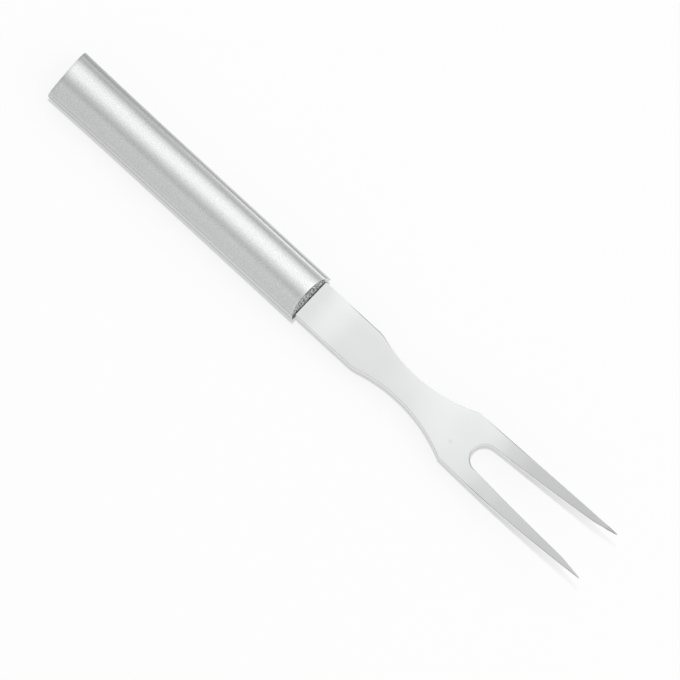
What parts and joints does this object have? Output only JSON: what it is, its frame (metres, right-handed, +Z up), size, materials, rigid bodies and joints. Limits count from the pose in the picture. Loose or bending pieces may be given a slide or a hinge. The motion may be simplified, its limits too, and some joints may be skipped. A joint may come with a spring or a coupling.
{
  "type": "carving fork",
  "caption": "Carving fork with a flat stamped steel head, waisted neck and upturned pointed tines, set in a flared oval cast aluminium handle.",
  "frame": {"origin": "under the middle of the fork's length and width, on the surface it lies on", "axes": "+X along the fork from the butt of the handle to the tips of the tines, +Z up, towards the side that the tines rise to"},
  "size_m": [0.238, 0.021, 0.0186],
  "materials": {
    "cast_aluminium": "satin, belt finished along the grip, rough as cast on the sloping front end",
    "stainless_steel": "fine satin with soft edges and ground points"
  },
  "bodies": {
    "root": {"handle": "cast_aluminium", "fork_head": "stainless_steel"}
  },
  "joints": []
}
